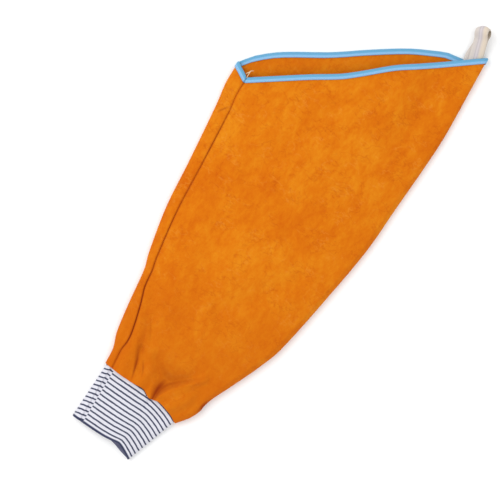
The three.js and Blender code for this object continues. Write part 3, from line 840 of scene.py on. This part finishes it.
def rim_frame():
    """At each column of the rim: up the sleeve, out of the leather, and the leg's length."""
    edge = rim_outside[0]
    up = unit(edge - rim_outside[1])
    along = unit(np.roll(edge, -1, 0) - np.roll(edge, 1, 0))
    square = np.maximum(np.linalg.norm(np.cross(up, along), axis=1), 1 / LEG_STRETCH)
    out = edge - rim_inside[0]
    out = out - up * (out * up).sum(1)[:, None]
    return up, unit(out), BINDING_WIDTH / square


def tape_rings(shares, offset, bulge):
    """Rings of the tape at shares of its legs, above 0 outside the leather and below 0 inside."""
    _, out, leg = rim_frame()
    rings = []
    for share in shares:
        swell = bulge * math.sin(math.pi * min(abs(share), 1.0)) ** 0.5
        if share > 0:
            rings.append(down_from_rim(rim_outside, share * leg) + out * (offset + swell))
        else:
            rings.append(down_from_rim(rim_inside, -share * leg) - out * (offset + swell))
    return rings


def over_the_rim(radius, steps):
    """Rings of the tape's turn over the rim, from the outside to the inside."""
    up, out, _ = rim_frame()
    middle = (rim_outside[0] + rim_inside[0]) / 2
    turns = np.pi * np.arange(1, steps) / steps
    return [middle + out * (radius * math.cos(t)) + up * (radius * math.sin(t)) for t in turns]


# Steps of the tape's turn over the rim, on its outside and against the leather
TURN_STEPS = 8
BACK_TURN_STEPS = 4


def rim_binding():
    far = TAPE_GAP + BINDING_THICKNESS
    legs = [1.0, 0.97, 0.9, 0.82, STITCH_LINE, 0.7, 0.55, 0.35, 0.15, 0.02]
    back_legs = [-1.0, -0.5, -0.02]
    _, out, _ = rim_frame()
    rings = tape_rings(legs, far, BINDING_BULGE)
    rings[legs.index(STITCH_LINE)] -= out * STITCH_DIP
    rings += over_the_rim(LEATHER / 2 + far, TURN_STEPS)
    rings += tape_rings([-share for share in legs[::-1]], far, BINDING_BULGE)
    rings += tape_rings(back_legs, TAPE_GAP, 0)
    rings += over_the_rim(LEATHER / 2 + TAPE_GAP, BACK_TURN_STEPS)[::-1]
    rings += tape_rings([-share for share in back_legs[::-1]], TAPE_GAP, 0)
    across = legs + [0.0] * (TURN_STEPS - 1) + [-share for share in legs[::-1]]
    across += back_legs + [0.0] * (BACK_TURN_STEPS - 1) + [-share for share in back_legs[::-1]]
    edge = rim_outside[0]
    run = np.concatenate([[0], np.cumsum(np.linalg.norm(np.diff(edge, axis=0), axis=1))])
    around = len(run)
    from_join = np.linalg.norm(edge - edge[SEAM_COLUMN], axis=1)
    join = JOIN_DARKNESS * drawn_line(from_join, JOIN_WIDTH, full=0.4)
    values = {
        "join": np.tile(join, len(rings)),
        "tape_across": np.repeat(across, around),
        "tape_along": np.tile(run, len(rings)),
    }
    faces = skin_faces(len(rings), around)
    obj = new_object("rim_tape", np.concatenate(rings), faces, values)
    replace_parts(dress(obj, binding_tape()), "rim_binding")


# Hanging loop: rows up each leg, and steps of its turn
LEG_ROWS = 60
LOOP_TURN_STEPS = 20


def loop_path():
    """Rows of (height up the loop, distance out from its middle plane), and the eye's heights."""
    leg_half = (LOOP_TAPE_THICKNESS + SEWN_GAP) / 2
    eye_half = (LOOP_EYE_HEIGHT - LOOP_TAPE_THICKNESS) / 2
    turn_start = LOOP_LENGTH - LOOP_TAPE_THICKNESS / 2 - eye_half
    eye_start = LOOP_LENGTH - LOOP_EYE_LENGTH
    heights = np.linspace(-LOOP_TUCK, turn_start, LEG_ROWS)
    halves = mix(leg_half, eye_half, smooth(heights, eye_start, turn_start))
    turns = np.pi * np.arange(1, LOOP_TURN_STEPS) / LOOP_TURN_STEPS
    up_leg = np.stack([heights, halves], 1)
    turn = np.stack([turn_start + eye_half * np.sin(turns), eye_half * np.cos(turns)], 1)
    down_leg = np.stack([heights, -halves], 1)[::-1]
    return np.concatenate([up_leg, turn, down_leg]), turn_start, eye_start


def loop_ring_shape():
    """The tape's section, as (width, thickness) offsets with rounded edges."""
    half, round_ = LOOP_TAPE_WIDTH / 2, LOOP_TAPE_THICKNESS / 2
    flat = np.linspace(-half + round_, half - round_, 9)
    turns = np.pi * np.arange(1, 4) / 4
    top = np.stack([flat, np.full(9, round_)], 1)
    right = np.stack([half - round_ + round_ * np.sin(turns), round_ * np.cos(turns)], 1)
    return np.concatenate([top, right, -top, -right])


def hanging_loop():
    tip = outer_fold(1.0)
    rim = unit(inner_fold(1.0) - tip)
    up = np.array([-math.sin(LOOP_LEAN), math.cos(LOOP_LEAN), 0])
    base = tip + rim * LOOP_FROM_TIP
    base[2] = rim_lift + RIM_FOLD_HEIGHT / 2
    side = np.cross(up, [0, 0, 1])
    path, turn_start, eye_start = loop_path()
    shape = loop_ring_shape()
    run = unit(np.gradient(path, axis=0))
    lengths = np.concatenate([[0], np.cumsum(np.linalg.norm(np.diff(path, axis=0), axis=1))])
    rings = []
    for (height, out), (rise, away) in zip(path, run):
        twist = -LOOP_TWIST * float(smooth(height, 0, turn_start))
        wide = side * math.cos(twist) + np.cross(up, side) * math.sin(twist)
        thick = np.cross(wide, up)
        spread = LOOP_FOOT_SPREAD * (1 - float(smooth(height, 0, eye_start))) if out < 0 else 0
        centre = base + up * height + thick * out - wide * spread
        centre[2] += LOOP_RISE * float(smooth(height, 0, turn_start))
        face = thick * rise - up * away
        sag = LOOP_CORNER_DROP * float(smooth(height, eye_start, turn_start))
        ring = centre + wide * shape[:, :1] + face * shape[:, 1:]
        rings.append(ring - up * sag * (2 * shape[:, :1] / LOOP_TAPE_WIDTH) ** 2)
    around = len(shape)
    faces = skin_faces(len(rings), around, closed=False)
    faces.append(list(range(around))[::-1])
    faces.append([(len(rings) - 1) * around + i for i in range(around)])
    values = {
        "tape_across": np.tile(shape[:, 0], len(rings)),
        "tape_along": np.repeat(lengths, around),
        "eye": np.outer(smooth(path[:, 0], eye_start, turn_start), shape[:, 1] < 0).ravel(),
    }
    obj = new_object("loop_tape", np.concatenate(rings), faces, values, sharp=60)
    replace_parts(dress(obj, loop_tape()), "hanging_loop")


# Knit cuff: rows that show, rows inside the leather, and steps round the edge at its end
CUFF_ROWS = 90
TUCKED_ROWS = 8
EDGE_STEPS = 6


def cuff_end_ring(inset):
    """The closed ring round the cuff's open end, moved inwards."""
    across_dir = np.array([math.cos(CUFF_END_SLANT), -math.sin(CUFF_END_SLANT), 0])
    left = np.array([-CUFF_END_SHIFT, -CUFF_LENGTH, 0]) - across_dir * CUFF_END_WIDTH / 2
    round_ = CUFF_FOLD_HEIGHT / 2
    x, z, front = tube_section(
        CUFF_END_WIDTH,
        round_,
        0,
        round_ + SEAM_HALF_WIDTH + CUFF_SEAM_STRIP,
        lambda share: mix(CUFF_FOLD_HEIGHT, CUFF_LOFT, np.sin(np.pi * share)),
        **PANEL_CUT,
    )
    inward = inwards(x, z)
    share = x / CUFF_END_WIDTH
    rise = np.where(front, curve(CUFF_FRONT_END_CURVE, share), curve(CUFF_BACK_END_CURVE, share))
    points = left + across_dir * (x + inward[:, 0] * inset)[:, None]
    points[:, 1] += CUFF_END_RISE * rise
    points[:, 2] = z + inward[:, 1] * inset
    return points


def cuff_rings(inset):
    """(rings, how far down the cuff each one is) from the end up to the tucked top."""
    room = LEATHER + TUCK_GAP + inset
    edge, _ = panel_ring(0, room, highest=0, wrist_curve=CUFF_TOP_CURVE)
    end = cuff_end_ring(inset)
    x, _, front = tube_section(
        WRIST_WIDTH,
        fold_reach(0),
        0,
        seam_place(0),
        lambda share: front_height(0, share),
        **PANEL_CUT,
    )
    across = x / WRIST_WIDTH
    rings, downs = [], []
    for down in np.linspace(1, 0, CUFF_ROWS):
        ring = mix(edge, end, down)
        from_ridge = np.abs(across - mix(CUFF_RIDGE_TOP, CUFF_RIDGE_END, down))
        ridge = CUFF_RIDGE * float(smooth(down, *CUFF_RIDGE_RISES))
        near = 1 - smooth(from_ridge, 0, CUFF_RIDGE_REACH)
        ring[:, 2] = mix(edge[:, 2], end[:, 2], float(smooth(down, 0, CUFF_FLAT_BY)))
        ring[:, 2] += np.where(front, ridge * near, 0)
        rings.append(ring)
        downs.append(down)
    for share in np.arange(1, TUCKED_ROWS + 1) / TUCKED_ROWS:
        ring, _ = panel_ring(share * cuff_top, room, highest=0, wrist_curve=CUFF_TOP_CURVE)
        rings.append(ring)
        downs.append(-share * CUFF_TUCK / CUFF_LENGTH)
    return rings, downs, x, front


# How much of the lining's look the turned edge at the cuff's end has
CUFF_EDGE_INSIDE_SHARE = 0.4


def knit_cuff():
    outer, downs, x, front = cuff_rings(0)
    inner, _, _, _ = cuff_rings(KNIT)
    middle = (outer[0] + inner[0]) / 2
    half = (outer[0] - inner[0]) / 2
    turns = np.pi * np.arange(1, EDGE_STEPS) / EDGE_STEPS
    down_dir = np.array([0, -KNIT / 2, 0])
    edge = [middle - half * math.cos(t) + down_dir * math.sin(t) for t in turns]
    rings = outer + inner[::-1] + edge
    around = len(x)
    down = np.concatenate([downs, downs[::-1], np.ones(len(edge))])
    step = seam_place(0) + mix(*STRIPE_STEP_SHIFT, down)
    lean = mix(STRIPE_PHASE_AT_FOLD, 1, np.clip(x / step.mean(), 0, 1))
    back_lean = mix(STRIPE_PHASE_AT_FOLD + STRIPE_STEP, 1, x / WRIST_WIDTH)
    stripe = down[:, None] * STRIPES - STRIPES + np.where(front, lean, back_lean)
    inside_share = [0] * len(outer) + [1] * len(inner) + [CUFF_EDGE_INSIDE_SHARE] * len(edge)
    values = {
        "from_seam": np.where(front, x - step[:, None], FAR).ravel(),
        "hem": np.repeat(smooth(down, HEM_FROM, HEM_FULL), around),
        "stripe": stripe.ravel(),
        "wale": np.tile(x, len(rings)),
        "inner": np.repeat(inside_share, around),
    }
    obj = new_object("knit_tube", np.concatenate(rings), skin_faces(len(rings), around), values)
    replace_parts(dress(obj, knit()), "knit_cuff")


# Stitches and cut threads
def strand(points, radius, sides=6):
    """(points, faces) of a thread of that radius through the points, with pointed ends."""
    points = np.asarray(points, float)
    runs = unit(np.gradient(points, axis=0))
    side = unit(np.cross(runs, [0.0, 0.0, 1.0]) + 1e-9)
    over = np.cross(side, runs)
    turns = 2 * np.pi * np.arange(sides) / sides
    swell = np.sin(np.pi * np.linspace(0.06, 0.94, len(points))) ** 0.3
    rings = [
        p + radius * w * (np.cos(turns)[:, None] * s + np.sin(turns)[:, None] * o)
        for p, s, o, w in zip(points, side, over, swell)
    ]
    faces = skin_faces(len(points), sides, closed=False)
    faces.append(list(range(sides))[::-1])
    faces.append([(len(points) - 1) * sides + i for i in range(sides)])
    return np.concatenate(rings), faces


def joined(name, strands, material):
    """One piece made of many strands."""
    points, faces = [], []
    for piece_points, piece_faces in strands:
        first = sum(len(p) for p in points)
        points.append(piece_points)
        faces += [[first + i for i in face] for face in piece_faces]
    dress(new_object(name, np.concatenate(points), faces), material)


def places_along(at, run, line):
    """The points of a line at distances along it."""
    return np.stack([np.interp(at, run, line[:, k]) for k in range(3)], 1)


STITCH_POINTS = 5


def arch(height):
    """How far the points of a stitch stand up."""
    return height * np.sin(np.pi * np.linspace(0, 1, STITCH_POINTS))


def rim_stitches():
    """A row of stitches round the tape, outside and inside."""
    _, out, leg = rim_frame()
    strands = []
    for side, rows in ((1, rim_outside), (-1, rim_inside)):
        line = down_from_rim(rows, STITCH_LINE * leg) + side * out * (TAPE_GAP + BINDING_THICKNESS)
        line = np.concatenate([line, line[:1]])
        run = np.concatenate([[0], np.cumsum(np.linalg.norm(np.diff(line, axis=0), axis=1))])
        count = int(run[-1] / STITCH_PITCH)
        away = np.concatenate([out, out[:1]]) * side
        for i in range(count):
            at = run[-1] * (i + np.linspace(*STITCH_SPAN, STITCH_POINTS)) / count
            lift = places_along(at, run, away) * arch(STITCH_ARCH)[:, None]
            strands.append(strand(places_along(at, run, line) + lift, FINE_THREAD))
    joined("rim_stitches", strands, thread("blue_thread", BLUE_THREAD))


# Cut ends of thread, from a place just above the binding's join: right and up in the camera's
# view, and up off the table.
TAILS_ABOVE_JOIN = 1.2
THREAD_TAILS = [
    [(-0.3, -0.6, 0.2), (0.9, 1.9, 2.0), (2.7, 5.0, 2.6), (4.8, 7.6, 2.2), (7.9, 7.9, 1.2)],
    [(-0.9, 4.6, 0.6), (0.4, 5.4, 1.8), (2.2, 5.9, 2.6), (3.9, 7.0, 2.4), (5.0, 7.6, 1.6)],
]


def thread_tails():
    """Two cut ends of thread at the binding's join, beside the seam."""
    join = rim_outside[0][SEAM_COLUMN]
    root = join + np.array([0, TAILS_ABOVE_JOIN, SEWN_GAP + BINDING_THICKNESS])
    across = np.array([math.cos(PHOTO_TURN), math.sin(PHOTO_TURN), 0])
    up = np.array([-math.sin(PHOTO_TURN), math.cos(PHOTO_TURN), 0])
    strands = []
    for tail in THREAD_TAILS:
        rows = np.array(tail, float)
        share = np.linspace(0, 1, len(rows))
        fine = np.linspace(0, 1, 26)
        points = np.stack([curve(list(zip(share, rows[:, k])), fine) for k in range(3)], 1)
        place = root + across * points[:, :1] + up * points[:, 1:2]
        place[:, 2] = root[2] + points[:, 2]
        strands.append(strand(place, THICK_THREAD, sides=8))
    joined("thread_tails", strands, thread("cream_thread", CREAM_THREAD))


# Stitches on the wrist: from and to as shares across it, their number, their span as shares of
# their pitch, how far they stand up and how far down the edge they lie
WRIST_STITCHES = (0.44, 0.575)
WRIST_STITCH_COUNT = 6
WRIST_STITCH_SPAN = (0.05, 0.9)
WRIST_STITCH_ARCH = 0.2
WRIST_STITCH_DROP = 0.5


def wrist_stitches():
    """A few dark stitches on the leather's edge beside the pleat."""
    across = np.linspace(*WRIST_STITCHES, WRIST_STITCH_COUNT + 1)
    ring, _ = outside[0]
    left, right = inner_fold(0.0), outer_fold(0.0)
    width = np.linalg.norm(right - left)
    x = (ring - left) @ ((right - left) / width)
    top = np.flatnonzero(ring[:, 2] > fold_reach(0) * 1.2)
    top = top[np.argsort(x[top])]
    strands = []
    for start in across[:-1]:
        span = np.linspace(*WRIST_STITCH_SPAN, STITCH_POINTS)
        at = width * (start + (across[1] - across[0]) * span)
        place = places_along(at, x[top], ring[top])
        place[:, 1] -= WRIST_STITCH_DROP
        place[:, 2] += arch(WRIST_STITCH_ARCH)
        strands.append(strand(place, THICK_THREAD))
    joined("wrist_stitches", strands, thread("dark_thread", DARK_THREAD))


# The camera looks straight down, turned so that the sleeve slants as it was laid.
PHOTO_TURN = math.radians(35)
VIEW_WIDTH = 0.575
VIEW_CENTRE = (np.array([9.8, 207.6, 0]) - ORIGIN) * MM
MIDDLE_HEIGHT = 0.012
LENS = 120


def camera():
    data = bpy.data.cameras.new("camera")
    data.lens = LENS
    obj = bpy.data.objects.new("camera", data)
    distance = VIEW_WIDTH * LENS / data.sensor_width
    obj.location = (VIEW_CENTRE[0], VIEW_CENTRE[1], distance + MIDDLE_HEIGHT)
    obj.rotation_euler = (0, 0, PHOTO_TURN)
    bpy.context.scene.collection.objects.link(obj)
    bpy.context.scene.camera = obj


def lamp(name, azimuth, elevation, distance, size, power):
    """A square lamp facing the sleeve; azimuth is anticlockwise from the right of the view."""
    data = bpy.data.lights.new(name, "AREA")
    data.size = size
    data.energy = power
    obj = bpy.data.objects.new(name, data)
    turn = math.radians(azimuth) + PHOTO_TURN
    flat = distance * math.cos(math.radians(elevation))
    rise = distance * math.sin(math.radians(elevation))
    obj.location = (flat * math.cos(turn), flat * math.sin(turn), rise)
    tilt = math.pi / 2 - math.radians(elevation)
    obj.rotation_euler = (tilt, 0, turn + math.pi / 2)
    bpy.context.scene.collection.objects.link(obj)


def floor():
    side = 6.0
    mesh = bpy.data.meshes.new("floor")
    corners = [(-side, -side, 0), (side, -side, 0), (side, side, 0), (-side, side, 0)]
    mesh.from_pydata(corners, [], [(0, 1, 2, 3)])
    obj = bpy.data.objects.new("floor", mesh)
    s = Shader("pale_floor", 0.9)
    tone = s.blend(s.noise(3, detail=2), grey(0.96), grey(0.94))
    obj.data.materials.append(s.finish(tone))
    bpy.context.scene.collection.objects.link(obj)


def light():
    world = bpy.data.worlds.new("studio")
    bpy.context.scene.world = world
    world.use_nodes = True
    world.node_tree.nodes["Background"].inputs["Color"].default_value = (1, 1, 1, 1)
    world.node_tree.nodes["Background"].inputs["Strength"].default_value = 0.9
    lamp("key", azimuth=150, elevation=52, distance=2.4, size=1.7, power=22)
    lamp("fill", azimuth=-30, elevation=65, distance=2.6, size=2.2, power=8)


camera()
floor()
light()
sleeve_panel()
rim_binding()
hanging_loop()
knit_cuff()
rim_stitches()
thread_tails()
wrist_stitches()

bpy.context.scene.view_settings.view_transform = "Standard"
bpy.context.scene.view_settings.look = "None"
